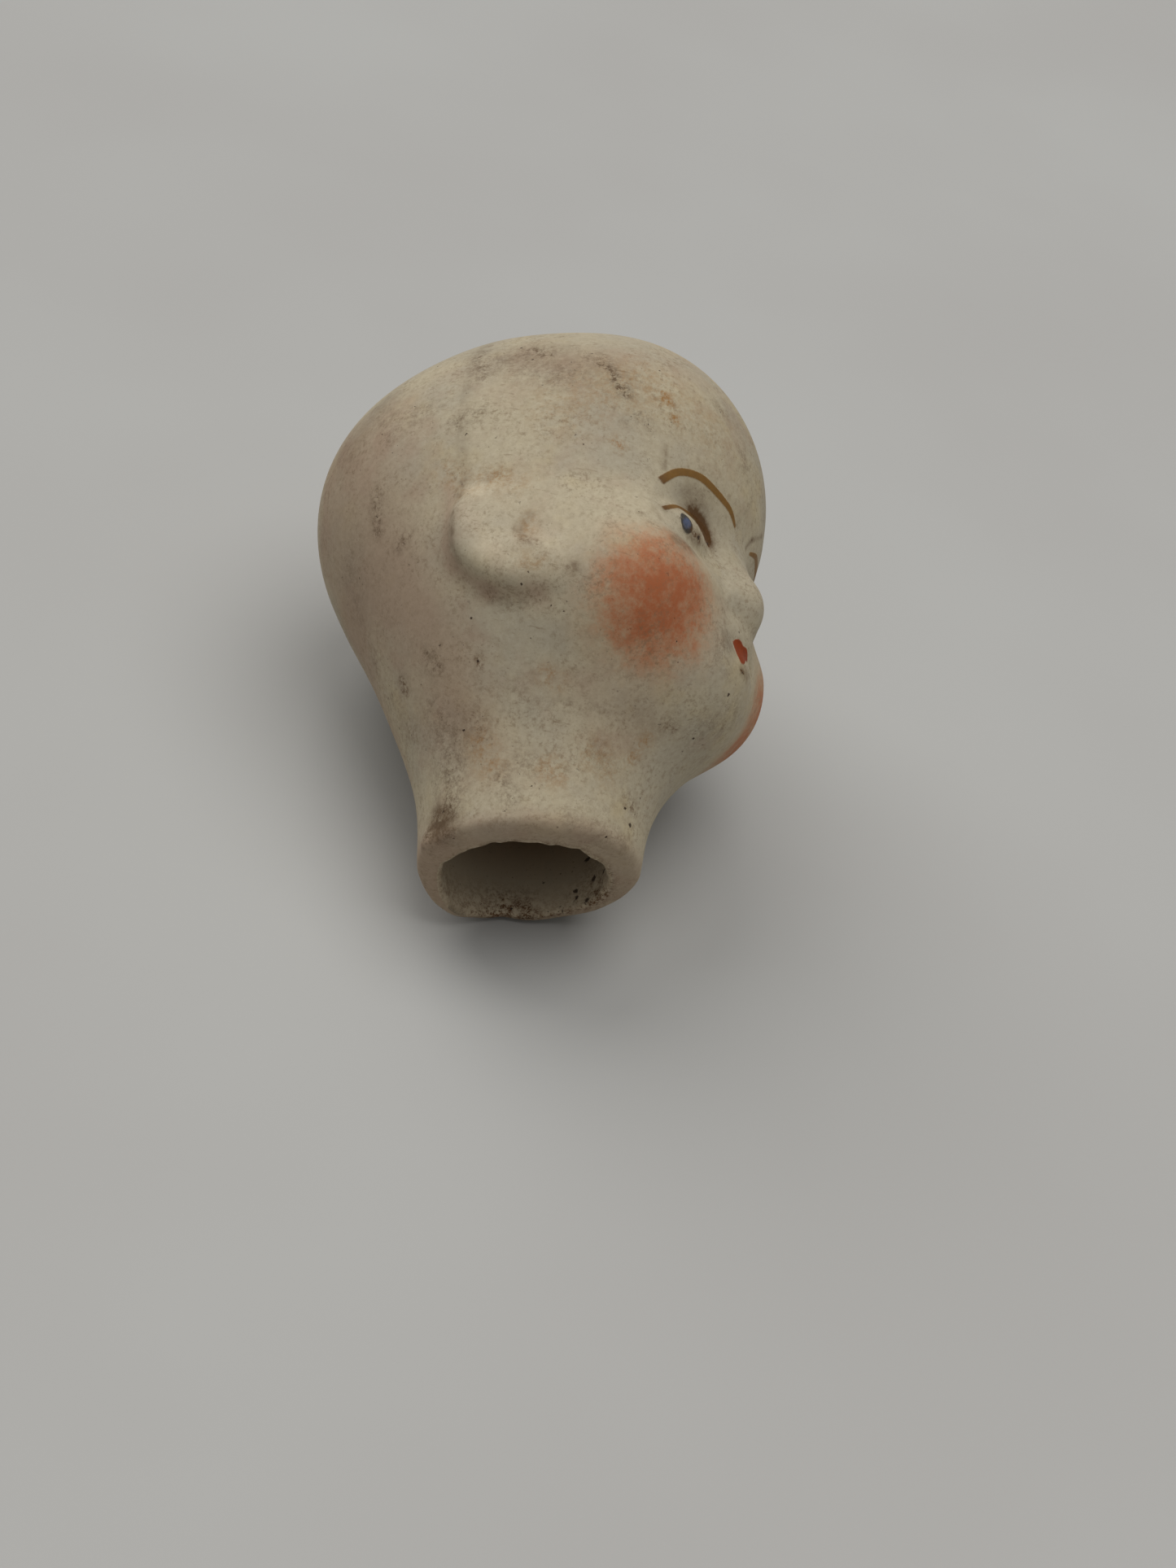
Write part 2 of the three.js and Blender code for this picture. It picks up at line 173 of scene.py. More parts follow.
def cut(a, b, blend):
    """The first form without the second, its edge rounded by the blend."""
    return -join(-a, b, blend)


def head_field(p):
    d = ellipsoid(p, skull)
    for form in (occiput, forehead, face, cheek, chin):
        d = join(d, ellipsoid(p, form), form["blend"])
    top = np.array([neck["top_x"], 0, neck["top_z"]])
    return join(d, taper(p, top, np.zeros(3), neck["top_radius"], neck["rim_radius"]), neck["blend"])


def ear_places(p):
    """The points in the ear's own axes: forward, up and out."""
    turn = math.radians(ear["face_forward"])
    tip = math.radians(ear["face_up"])
    lean = math.radians(ear["lean_back"])
    q = np.stack([p[:, 0] - ear["x"], np.abs(p[:, 1]) - ear["y"], p[:, 2] - ear["z"]], -1)
    level_out = np.array([math.sin(turn), math.cos(turn), 0])
    forward = np.array([math.cos(turn), -math.sin(turn), 0])
    up = np.array([0, 0, 1.0])
    out = level_out * math.cos(tip) + up * math.sin(tip)
    rise = up * math.cos(tip) - level_out * math.sin(tip)
    along = q @ forward
    high = q @ rise
    u = along * math.cos(lean) + high * math.sin(lean)
    v = high * math.cos(lean) - along * math.sin(lean)
    return u, v, q @ out


def ear_field(p):
    u, v, w = ear_places(p)
    power = ear["squareness"]
    size = min(ear["half_length"], ear["half_height"])
    reach_u = np.abs(u / ear["half_length"]) ** power
    reach_v = np.abs(v / ear["half_height"]) ** power
    outline = ((reach_u + reach_v + tiny_share) ** (1 / power) - 1) * size
    low_back = (-u * math.cos(corner_turn) - v * math.sin(corner_turn)) - ear_corner["reach"]
    outline = cut(outline, -low_back, ear_corner["blend"])
    bowl_u = (u - ear_bowl["forward"]) / ear_bowl["half_length"]
    bowl_v = (v - ear_bowl["up"]) / ear_bowl["half_height"]
    bowl = ear_bowl["depth"] * np.exp(-(bowl_u ** 2 + bowl_v ** 2))
    share = np.clip((u - ear_ridge["back"]) / (ear_ridge["front"] - ear_ridge["back"]), 0, 1)
    off_u = u - ear_ridge["back"] - share * (ear_ridge["front"] - ear_ridge["back"])
    off_v = v - ear_ridge["high"] - share * (ear_ridge["low"] - ear_ridge["high"])
    ridge = ear_ridge["rise"] * np.exp(-(off_u ** 2 + off_v ** 2) / ear_ridge["width"] ** 2)
    low_share = smooth_share(-v / ear["half_height"], 0, ear_low_share)
    high_share = smooth_share(v / ear["half_height"], 0, ear_high_share)
    high_back = high_share * smooth_share(-u / ear["half_length"], 0, ear_back_share)
    edge_round = ear["edge_round"] * (1 - low_share) + ear_soft_round * low_share
    edge_round = edge_round * (1 - high_back) + ear_crisp_round * high_back
    return cut(outline, ear["rise"] - bowl + ridge - w, edge_round)


def skin_field(p):
    d = head_field(p)
    d = cut(d, ellipsoid(p, socket), socket["blend"])
    d = cut(d, ellipsoid(p, root_dip), root_dip["blend"])
    d = join(d, ellipsoid(p, eyeball), eyeball["blend"])
    d = cut(d, ellipsoid(p, mouth_dip), mouth_dip["blend"])
    root = np.array([bridge["top_x"], 0, bridge["top_z"]])
    tip = np.array([bridge["tip_x"], 0, bridge["tip_z"]])
    d = join(d, taper(p, root, tip, bridge["radius"], bridge["radius"]), bridge["blend"])
    for form in (nose_tip, nostril, upper_lip, lower_lip, flash):
        d = join(d, ellipsoid(p, form), form["blend"])
    return join(d, ear_field(p), ear["blend"])


def march(field, starts, directions, level=0.0):
    """Moves each point along its direction until the field reaches the level."""
    p = starts.copy()
    left = np.arange(len(p))
    for _ in range(trace_steps):
        gap = field(p[left]) - level
        p[left] += directions[left] * (trace_share * np.clip(gap, -back_stride, stride))[:, None]
        left = left[np.abs(gap) > trace_done]
        if len(left) == 0:
            break
    return p


def normals_of(field, p):
    slopes = []
    for axis in range(3):
        step = np.zeros(3)
        step[axis] = probe
        slopes.append(field(p + step) - field(p - step))
    n = np.stack(slopes, -1)
    return n / np.linalg.norm(n, axis=1)[:, None]


# Places of the mesh's rays

def spread(count, start, stop, crowded):
    """Angles from start to stop in degrees, closer together where they are crowded, as radians."""
    fine = np.linspace(start, stop, fine_steps)
    density = np.ones_like(fine)
    for form in crowded:
        density += form["gain"] * np.exp(-((fine - form["at"]) / form["width"]) ** 2)
    sums = np.concatenate([[0], np.cumsum((density[1:] + density[:-1]) / 2)])
    wanted = sums[-1] * (np.arange(count) + 0.5) / count
    return np.radians(np.interp(wanted, sums, fine))


def column_angles():
    other = dict(ear_crowding, at=-ear_crowding["at"])
    return spread(columns, -180, 180, [face_crowding, ear_crowding, other])


def ringed_rows(field, level, rings, end_z):
    """Rings of points on a field, from the crown down to end_z."""
    angles = column_angles()
    fan = round(rings * fan_share)
    heights = spread(fan, fan_top, fan_low, [relief_crowding])
    down = np.zeros(fan)
    steps = np.arange(1, rings - fan + 1) / (rings - fan)
    heights = np.concatenate([heights, np.radians(fan_low * (1 - steps))])
    down = np.concatenate([down, steps])
    origins = np.stack([hub_x * (1 - down), 0 * down, hub_z + (end_z - hub_z) * down], -1)
    level_share = np.cos(heights)[:, None]
    directions = np.stack([
        level_share * np.cos(angles), level_share * np.sin(angles),
        np.repeat(np.sin(heights)[:, None], columns, 1),
    ], -1)
    starts = origins[:, None] + reach * directions
    flat = march(field, starts.reshape(-1, 3), -directions.reshape(-1, 3), level)
    return flat.reshape(rings, columns, 3)


# How the head lies: turned, then fitted into the box of the CAD casting

def rest_turn():
    sin_tip = math.sin(math.radians(rest_tip))
    cos_tip = math.cos(math.radians(rest_tip))
    sin_roll = math.sin(math.radians(rest_roll))
    cos_roll = math.cos(math.radians(rest_roll))
    about_y = np.array([[cos_tip, 0, sin_tip], [0, 1, 0], [-sin_tip, 0, cos_tip]])
    about_x = np.array([[1, 0, 0], [0, cos_roll, -sin_roll], [0, sin_roll, cos_roll]])
    return about_y @ about_x


def laying_of(points):
    turned = points @ rest_turn().T
    low, high = (np.array(corner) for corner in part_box("bisque_head"))
    scale = (high - low) / (turned.max(0) - turned.min(0))
    return scale, low - turned.min(0) * scale


def lay(points, laying):
    scale, shift = laying
    return (points @ rest_turn().T) * scale + shift


def stand_up(points, laying):
    scale, shift = laying
    return ((points - shift) / scale) @ rest_turn()


# The casting

rim_depth = 1.2
# Waves round the rim and the bore: how many, where they start and their height
rim_waves = ((2, 0.4, 0.06), (5, 2.1, 0.05), (9, 0.9, 0.035), (17, 1.7, 0.02))
bore_waves = ((7, 0.3, 0.07), (13, 1.9, 0.05), (23, 0.8, 0.035), (37, 2.6, 0.02))
# Where the rim is worn back, or stands out if the depth is below zero: angle and width in degrees, depth
rim_chips = (
    (165, 24, -1.0), (96, 9, 0.18), (-98, 5, 0.14), (-48, 4, 0.1), (-30, 7, 0.16), (128, 6, 0.1),
)
rim_flare = dict(at=-172, width=55, out=0.45, deep=3.0)


def waves(angles, terms):
    return sum(height * np.sin(count * angles + start) for count, start, height in terms)


def turned_off(angles, at):
    """How far the angles are from one, in degrees, the short way round."""
    return (np.degrees(angles) - at + 180) % 360 - 180


def wear_rim(rows, mouth_row):
    """Lowers the rim unevenly, as it was cut by hand before firing, and frays the bore's edge."""
    angles = np.arctan2(rows[..., 1], rows[..., 0])
    low = sum(height for _, _, height in rim_waves) + waves(angles, rim_waves)
    for at, width, depth in rim_chips:
        low = low + depth * np.exp(-(turned_off(angles, at) / width) ** 2)
    flare = np.exp(-(turned_off(angles, rim_flare["at"]) / rim_flare["width"]) ** 2)
    flare = flare * rim_flare["out"] * np.exp(-(rows[..., 2] / rim_flare["deep"]) ** 2)
    rows[..., :2] *= 1 + (flare / np.linalg.norm(rows[..., :2], axis=-1))[..., None]
    near = np.clip(1 - rows[..., 2] / rim_depth, 0, 1)
    rows[..., 2] += near * low
    off_middle = rows[mouth_row:, :, :2] - np.array(bore_middle)
    fray = near[mouth_row:] * waves(np.arctan2(off_middle[..., 1], off_middle[..., 0]), bore_waves)
    radius = np.linalg.norm(off_middle, axis=-1)
    rows[mouth_row:, :, :2] = np.array(bore_middle) + off_middle * (1 + fray / radius)[..., None]
    return rows


def casting_rows():
    """All rings from the crown over the rim into the hollow, with the count of the outer ones."""
    outer = list(ringed_rows(skin_field, 0.0, outer_rings, rim_round))
    edge = outer[-1]
    radius = np.linalg.norm(edge[:, :2], axis=1)[:, None]
    for step in range(1, rim_steps + 1):
        turn = math.radians(90 * step / rim_steps)
        inset = rim_round * (1 - math.cos(turn))
        row = edge * (radius - inset) / radius
        row[:, 2] = rim_round * (1 - math.sin(turn))
        outer.append(row)
    inner = list(ringed_rows(head_field, -wall, inner_rings, bore_lip))
    for row in inner:
        share = 1 - smooth_share(row[:, 2], 0, bore_fade)
        row[:, :2] += np.array(bore_middle) * share[:, None]
    last = inner[-1]
    off_middle = last[:, :2] - np.array(bore_middle)
    mouth = last.copy()
    mouth[:, :2] += off_middle * bore_lip / np.linalg.norm(off_middle, axis=1)[:, None]
    mouth[:, 2] = 0
    flat = [outer[-1] + (mouth - outer[-1]) * step / rim_flat_steps for step in range(1, rim_flat_steps)]
    rows = outer + flat + [mouth] + inner[::-1]
    return np.array(rows), len(outer), len(outer) + len(flat)


def grid_faces(rows, wide):
    """Faces of a closed body of rings with a point at each end."""
    column = np.arange(wide)
    after = (column + 1) % wide
    faces = [(0, 1 + i, 1 + j) for i, j in zip(column, after)]
    for ring in range(rows - 1):
        a = 1 + ring * wide
        b = a + wide
        faces += [(a + i, b + i, b + j, a + j) for i, j in zip(column, after)]
    foot = 1 + (rows - 1) * wide
    last = 1 + rows * wide
    faces += [(foot + i, last, foot + j) for i, j in zip(column, after)]
    return faces


def mesh_object(name, points, faces, marks, laying, material):
    mesh = bpy.data.meshes.new(name)
    mesh.from_pydata(lay(points, laying).tolist(), [], faces)
    for mark, values in marks.items():
        mesh.attributes.new(mark, "FLOAT", "POINT").data.foreach_set("value", np.asarray(values, "f"))
    mesh.polygons.foreach_set("use_smooth", np.ones(len(mesh.polygons), bool))
    mesh.materials.append(material)
    mesh.update()
    piece = bpy.data.objects.new(name, mesh)
    bpy.context.scene.collection.objects.link(piece)
    return piece


# Places named by their pixel in the photograph, carried onto the skin

start_share = 1.1


def camera_axes():
    turn = Euler([math.radians(angle) for angle in camera_turn], "XYZ").to_matrix()
    return np.array(turn)


def under_pixels(pixels, laying):
    """The places on the upright head's skin that the camera sees at these pixels."""
    pixels = np.array(pixels, float)
    across = (pixels[:, 0] - photo_wide / 2) / photo_focal
    down = (pixels[:, 1] - photo_high / 2) / photo_focal
    rays = np.stack([across, -down, -np.ones(len(pixels))], -1) @ camera_axes().T
    start = np.array(camera_place) * mm
    origin = stand_up(start[None], laying)[0]
    directions = rays @ rest_turn()
    directions /= np.linalg.norm(directions, axis=1)[:, None]
    starts = np.repeat(origin[None], len(pixels), 0)
    far = np.linalg.norm(origin - np.array([hub_x, 0, hub_z])) - start_share * reach
    return march(skin_field, starts + far * directions, directions)


def near_point(p, centre, size):
    return np.exp(-((p - centre) ** 2).sum(-1) / size ** 2)


def near_line(p, points, width):
    best = np.full(len(p), np.inf)
    for a, b in zip(points[:-1], points[1:]):
        axis = b - a
        share = np.clip((p - a) @ axis / max(axis @ axis, tiny), 0, 1)
        best = np.minimum(best, np.linalg.norm(p - a - share[:, None] * axis, axis=1))
    return np.exp(-(best / width) ** 2)


# Marks on the skin: from one pixel to another, with their width in millimetres and their strength
dust_marks = (
    (592, 436, 590, 466, 1.0, 0.7), (618, 446, 668, 436, 1.6, 0.5), (738, 440, 772, 488, 0.6, 0.8),
    (680, 470, 712, 464, 1.2, 0.5), (560, 524, 586, 508, 0.8, 0.8), (510, 512, 530, 504, 1.2, 0.45),
    (470, 512, 476, 540, 1.2, 0.5), (462, 604, 464, 655, 0.6, 1.0), (490, 674, 500, 660, 0.6, 0.9),
    (526, 806, 536, 824, 0.7, 1.0), (536, 880, 548, 965, 1.6, 0.6), (566, 900, 560, 975, 1.0, 0.4),
    (614, 960, 626, 985, 0.9, 0.7), (640, 936, 652, 946, 0.9, 0.5), (526, 1032, 552, 998, 0.9, 1.0),
    (540, 1014, 550, 1020, 1.2, 0.9), (912, 560, 918, 590, 0.7, 0.6), (786, 512, 800, 530, 0.5, 0.6),
    (885, 784, 892, 822, 0.9, 0.55), (856, 905, 900, 880, 1.6, 0.4), (600, 734, 632, 738, 0.7, 0.5),
    (430, 700, 440, 760, 1.6, 0.35), (480, 860, 500, 900, 1.6, 0.35), (640, 850, 660, 870, 1.4, 0.3),
    (690, 870, 745, 872, 0.5, 0.4), (700, 1010, 770, 1040, 0.8, 0.45), (420, 560, 450, 500, 1.5, 0.35),
    (880, 500, 905, 530, 1.2, 0.4), (925, 610, 905, 648, 0.25, 0.6), (836, 604, 858, 612, 0.8, 0.3),
    (700, 428, 742, 452, 0.3, 0.7), (742, 452, 770, 486, 0.3, 0.6), (716, 440, 752, 466, 0.25, 0.6),
    (752, 466, 764, 490, 0.25, 0.5), (652, 432, 672, 438, 0.5, 0.9), (640, 462, 700, 452, 0.9, 0.4),
    (820, 424, 850, 446, 0.6, 0.5), (770, 520, 786, 512, 0.5, 0.5),
)
brown_marks = (
    (860, 652, 867, 663, 0.42, 2.4), (852, 656, 858, 664, 0.4, 1.5), (867, 668, 871, 673, 0.3, 1.2),
    (856, 640, 868, 656, 0.4, 0.9), (718, 720, 722, 724, 0.3, 0.6), (910, 826, 913, 830, 0.2, 1.2),
    (832, 626, 852, 634, 0.25, 0.5), (916, 822, 922, 842, 0.4, 0.6), (640, 664, 660, 670, 0.4, 0.5),
    (581, 884, 590, 900, 0.8, 0.5), (493, 838, 497, 852, 0.45, 1.2), (458, 806, 462, 826, 0.7, 0.5),
    (735, 915, 742, 940, 0.7, 0.3), (820, 892, 826, 896, 0.6, 0.7), (770, 984, 778, 996, 0.5, 0.7),
    (586, 810, 589, 822, 0.3, 0.9), (697, 703, 706, 697, 0.3, 0.5), (790, 634, 800, 644, 0.4, 0.5),
    (600, 734, 606, 738, 0.4, 0.5), (548, 1088, 560, 1100, 0.8, 0.5), (735, 1050, 765, 1060, 0.8, 0.7),
    (600, 1022, 612, 1026, 0.4, 0.5),
)
# Smears: real smudges and stains, with painted shade in the eye's inner corner and socket, under the eye,
# along the ear's back edge and in the dimple beside the mouth
smear_and_shade_marks = (
    (851, 632, 864, 652, 0.75, 0.95), (860, 646, 871, 668, 0.55, 1.2), (846, 606, 862, 622, 0.9, 0.35),
    (852, 660, 858, 668, 0.6, 0.5), (893, 786, 897, 798, 0.7, 0.45), (540, 1004, 550, 1014, 1.1, 0.8),
    (532, 1022, 538, 1030, 0.7, 0.7), (912, 826, 918, 834, 0.4, 0.5), (650, 634, 636, 652, 0.4, 0.3),
    (636, 652, 648, 669, 0.45, 0.35), (567, 596, 562, 614, 0.35, 0.6), (557, 630, 553, 655, 0.3, 0.4),
    (554, 655, 562, 690, 0.35, 0.5), (568, 880, 590, 930, 1.6, 0.15), (734, 930, 745, 950, 1.2, 0.12),
    (640, 440, 760, 470, 3.0, 0.28), (430, 560, 470, 500, 2.2, 0.3), (916, 676, 924, 666, 0.2, 0.7),
    (924, 666, 936, 661, 0.2, 0.7), (812, 640, 802, 626, 0.25, 0.35), (704, 696, 708, 702, 0.4, 0.5),
    (610, 585, 600, 592, 0.4, 0.4), (814, 628, 846, 625, 0.35, 0.35), (832, 666, 850, 678, 0.8, 0.7),
    (846, 625, 856, 636, 0.3, 0.6), (775, 880, 800, 900, 1.6, 0.25), (817, 549, 815, 578, 0.16, 0.8),
)
warm_marks = (
    (757, 545, 763, 552, 0.5, 0.9), (828, 514, 832, 520, 0.4, 0.8), (812, 486, 820, 496, 0.6, 0.7),
    (590, 915, 600, 940, 1.2, 0.7), (672, 832, 682, 840, 0.8, 0.7), (672, 945, 682, 955, 1.2, 0.6),
    (776, 935, 796, 910, 0.6, 0.8), (548, 578, 556, 590, 1.0, 0.5), (640, 690, 664, 694, 0.8, 0.5),
    (598, 590, 612, 586, 0.8, 0.5), (580, 600, 640, 596, 1.4, 0.35), (650, 640, 646, 656, 0.7, 0.5),
    (690, 500, 760, 480, 3.0, 0.35), (800, 470, 880, 540, 3.0, 0.3), (730, 930, 745, 945, 1.4, 0.5),
)
# Pink marks: a darker pink tone laid as painted shade on the shaded left side of the head and along the
# ear's back and lower edges
pink_and_shade_marks = (
    (450, 560, 480, 700, 5.0, 0.8), (480, 740, 540, 860, 4.5, 0.6), (560, 880, 600, 940, 3.0, 0.4),
    (720, 850, 780, 890, 3.0, 0.4), (430, 520, 470, 480, 3.0, 0.5), (600, 450, 720, 440, 3.0, 0.3),
    (400, 640, 430, 760, 4.0, 0.7), (440, 800, 480, 900, 3.5, 0.7), (500, 1000, 520, 1060, 3.0, 0.8),
    (556, 605, 552, 690, 0.7, 0.9), (560, 700, 600, 726, 0.8, 0.8), (600, 728, 660, 730, 0.9, 0.6),
    (700, 450, 860, 470, 1.6, 0.4), (640, 664, 656, 640, 0.8, 0.6), (530, 760, 560, 800, 2.5, 0.5),
)
# Pale marks: painted highlights on the ear's top face, its top back corner and lower front and beside the
# nose, and the paler white of the near eye
pale_and_highlight_marks = (
    (582, 612, 660, 636, 2.4, 0.55), (580, 640, 594, 660, 1.0, 0.2), (600, 680, 690, 694, 1.6, 0.65),
    (566, 600, 590, 606, 0.7, 0.6), (926, 700, 932, 730, 1.2, 0.3), (840, 650, 812, 636, 0.5, 0.5),
)
# Dark dots: pixel and size outside, place and size in the hollow
dot_pixels = (
    (863, 658, 0.34), (858, 663, 0.22), (869, 671, 0.18), (774, 1017, 0.22), (587, 815, 0.14),
    (852, 910, 0.16), (895, 856, 0.16), (640, 720, 0.12), (578, 762, 0.12), (912, 829, 0.14),
    (545, 1000, 0.18), (768, 996, 0.16),
)
hollow_dots = (
    (1.95, 6.68, 4.4, 0.3), (3.8, 4.9, 2.3, 0.35), (2.7, 6.0, 2.3, 0.35), (1.0, 6.6, 1.8, 0.3),
    (1.2, 6.6, 1.1, 0.3), (2.2, 6.1, 0.6, 0.35), (-0.2, 6.9, 0.5, 0.35), (4.3, 4.0, 1.6, 0.25),
)
mark_kinds = dict(
    pale_and_highlight=pale_and_highlight_marks, dust=dust_marks, brown=brown_marks, smear_and_shade=smear_and_shade_marks, warm=warm_marks,
    pink_and_shade=pink_and_shade_marks,
)
seam_pixels = ((570, 590), (566, 530), (574, 480), (588, 435), (603, 424))
seam_width = 0.5

# The blush of the cheeks and of the rim
rouge_pixel = (816, 738)
rouge_size = 4.6
rouge_fullness = 1.5
far_rouge_up = 0.9
far_rouge_share = 0.8
rouge_top = (22.3, 20.7)
rim_blush = 2.2
rim_blush_share = 0.8

# Dirt in the hollow: middle x, y, z, size and strength
hollow_dirt = (
    (2.4, 6.1, 2.0, 1.6, 0.7), (3.7, 5.0, 1.0, 1.2, 0.8), (-4.6, 5.2, 0.3, 1.1, 0.7),
    (-3.2, 6.1, 0.3, 1.2, 0.5), (-3.4, 7.2, 0, 0.9, 0.4), (-0.4, 7.8, 0, 1.0, 0.4),
    (2.6, 7.5, 0, 0.8, 0.4), (-5.4, 6.0, 0, 0.9, 0.4),
)
# How deep in the hollow its colour turns to a darker brown as painted shade, and the stain along the edge
# of the bore
hollow_fade = (3.0, 9.0)
edge_dirt = dict(radius=6.35, wide=0.4, deep=0.9, strength=0.75)


def mark_places(laying):
    """Each kind of mark's lines on the skin, with their width and strength."""
    places = {}
    for kind, marks in mark_kinds.items():
        ends = under_pixels([pixel for mark in marks for pixel in (mark[:2], mark[2:4])], laying)
        places[kind] = [(ends[2 * i:2 * i + 2], mark[4], mark[5]) for i, mark in enumerate(marks)]
    places["seam"] = [(under_pixels(seam_pixels, laying), seam_width, 1)]
    places["rouge"] = under_pixels([rouge_pixel], laying)[0]
    outside = under_pixels([dot[:2] for dot in dot_pixels], laying)
    middles = np.concatenate([outside, np.array(hollow_dots)[:, :3]])
    places["dots"] = list(zip(lay(middles, laying), [dot[-1] for dot in dot_pixels + hollow_dots]))
    return places


def marked(p, lines):
    """How strongly each point is marked by a kind's lines."""
    total = np.zeros(len(p))
    for points, width, strength in lines:
        total += strength * near_line(p, points, width)
    return total


def rouge_of(p, rouge_at):
    """How full the blush is on both cheeks."""
    far_at = rouge_at * np.array([1, -1, 1]) + np.array([0, 0, far_rouge_up])
    powder = near_point(p, rouge_at, rouge_size) + far_rouge_share * near_point(p, far_at, rouge_size)
    full = (1 - np.exp(-rouge_fullness * powder)) / (1 - math.exp(-rouge_fullness))
    return full * smooth_share(-p[:, 2], -rouge_top[0], -rouge_top[1])


def edge_dirt_of(p):
    """The brown stain along the edge of the bore."""
    off_middle = p[:, :2] - np.array(bore_middle)
    radius = np.linalg.norm(off_middle, axis=1)
    at_edge = np.exp(-((radius - edge_dirt["radius"]) / edge_dirt["wide"]) ** 2)
    return edge_dirt["strength"] * at_edge * np.exp(-(p[:, 2] / edge_dirt["deep"]) ** 2)


def marks_of(p, inside, places):
    outside = 1 - inside
    marks = {kind: marked(p, places[kind]) * outside for kind in (*mark_kinds, "seam")}
    marks["pink_and_shade"] += rim_blush_share * smooth_share(-p[:, 2], -rim_blush, 0) * outside
    marks["brown"] += edge_dirt_of(p)
    for x, y, z, size, strength in hollow_dirt:
        marks["brown"] += strength * near_point(p, np.array([x, y, z]), size)
    marks["rouge"] = rouge_of(p, places["rouge"]) * outside
    marks["inside"] = inside
    # Painted shade: the hollow darkens deeper in
    marks["deep"] = inside * smooth_share(p[:, 2], *hollow_fade)
    return marks


def build_casting(rows, mouth_row, seat, material):
    laying, places = seat
    rows = wear_rim(rows, mouth_row)
    above = np.array([[hub_x, 0, hub_z + reach]])
    down = np.array([[0, 0, -1.0]])
    crown = march(skin_field, above, down)
    hollow = march(head_field, above, down, -wall)
    points = np.concatenate([crown, rows.reshape(-1, 3), hollow])
    inside = np.zeros(rows.shape[:2])
    inside[mouth_row:] = 1
    inside = np.concatenate([[0], inside.reshape(-1), [1]])
    marks = marks_of(points, inside, places)
    faces = grid_faces(len(rows), columns)
    piece = mesh_object("bisque_casting", points, faces, marks, laying, material)
    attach(piece, "root")
    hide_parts("bisque_head")


# Fired paint: thin closed sheets on the skin, lens-shaped, so that their border lies under it

# In millimetres, in the front view of the upright head
paint_over = 0.025
paint_border = -0.03
paint_under = 0.12
brow = dict(y=5.95, z=26.97, half_wide=4.35, half_high=1, width=0.62, tip_width=0.14)
brow_shares = ((-1, -0.5), (-0.55, 0.35), (0, 0.9), (0.35, 1), (0.72, 0.45), (1, -1))
lid_line = dict(y=7.2, z=24.3, half_wide=3.3, half_high=0.95, width=0.34, tip_width=0.3)
lid_line_shares = ((-1, -0.2), (-0.9, 0.5), (-0.5, 1), (-0.1, 0.9), (0.4, 0.4), (1, -1))
iris = dict(y=8.4, z=23.1, half_width=0.63, half_height=0.72)
iris_lean_share = 0.4
lips = dict(y=-0.6, z=16, half_width=1.5, peak=0.75, bottom=1.5)
lip_point = -0.6
dent_share = 0.3
dent_width_share = 0.32
stroke_steps = 80
stroke_strips = 13
spot_steps = 49

# How far a sheet goes past its paint, and where the paint thins out, as shares of the stroke or spot
sheet_margin = 1.6
sheet_rise_share = 0.6
stroke_start_share = 0.05
stroke_end_share = 0.03
stroke_edge_shares = (0.75, 1.35)
dark_end_share = 0.85
spot_width_share = 0.97
spot_side_shares = (0.75, 1.3)
spot_end_shares = (0.85, 1.2)
ring_shares = (0.15, 0.6)
blunt_share = 0.12


def smooth_curve(points, count):
    """A Catmull-Rom line through the points."""
    points = np.array(points, float)
    padded = np.concatenate([[2 * points[0] - points[1]], points, [2 * points[-1] - points[-2]]])
    out = []
    for along in np.linspace(0, len(points) - 1, count):
        i = min(int(along), len(points) - 2)
        t = along - i
        a, b, c, d = padded[i:i + 4]
        bend = (2 * a - 5 * b + 4 * c - d) * t ** 2
        out.append(0.5 * (2 * b + (c - a) * t + bend + (3 * b - a - 3 * c + d) * t ** 3))
    return np.array(out)


def on_skin(yz):
    flat = yz.reshape(-1, 2)
    starts = np.stack([np.full(len(flat), reach), flat[:, 0], flat[:, 1]], -1)
    inward = np.tile([-1.0, 0, 0], (len(flat), 1))
    return march(skin_field, starts, inward)


def paint_sheet(name, node, yz, paint, ring, seat, material):
    """A closed thin sheet over the grid of front-view places yz, with the painted share of each."""
    laying, places = seat
    high, wide = yz.shape[:2]
    # The sheet lies just over the skin where it is painted, and under it at its border
    skin = on_skin(yz)
    normals = normals_of(skin_field, skin)
    rise = smooth_share(paint.reshape(-1, 1), 0, sheet_rise_share)
    over = skin + normals * (paint_border + (paint_over - paint_border) * rise)
    under = skin - normals * paint_under
    points = np.concatenate([over, under])
    total = high * wide
    faces = []
    for i in range(high - 1):
        for j in range(wide - 1):
            a = i * wide + j
            faces.append((a, a + 1, a + wide + 1, a + wide))
            faces.append((total + a, total + a + wide, total + a + wide + 1, total + a + 1))
    border = list(range(wide - 1)) + [i * wide + wide - 1 for i in range(high - 1)]
    border += [total - 1 - j for j in range(wide - 1)] + [(high - 1 - i) * wide for i in range(high - 1)]
    for a, b in zip(border, border[1:] + border[:1]):
        faces.append((a, total + a, total + b, b))
    marks = marks_of(points, np.zeros(len(points)), places)
    marks["paint"] = np.tile(paint.reshape(-1), 2)
    marks["ring"] = np.tile(ring.reshape(-1), 2)
    # The faces look outward, also where the grid is mirrored
    first = np.cross(over[1] - over[0], over[wide] - over[0])
    if first @ normals[0] < 0:
        faces = [face[::-1] for face in faces]
    piece = mesh_object(name, points, faces, marks, laying, material)
    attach(piece, "root")
    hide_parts(node)


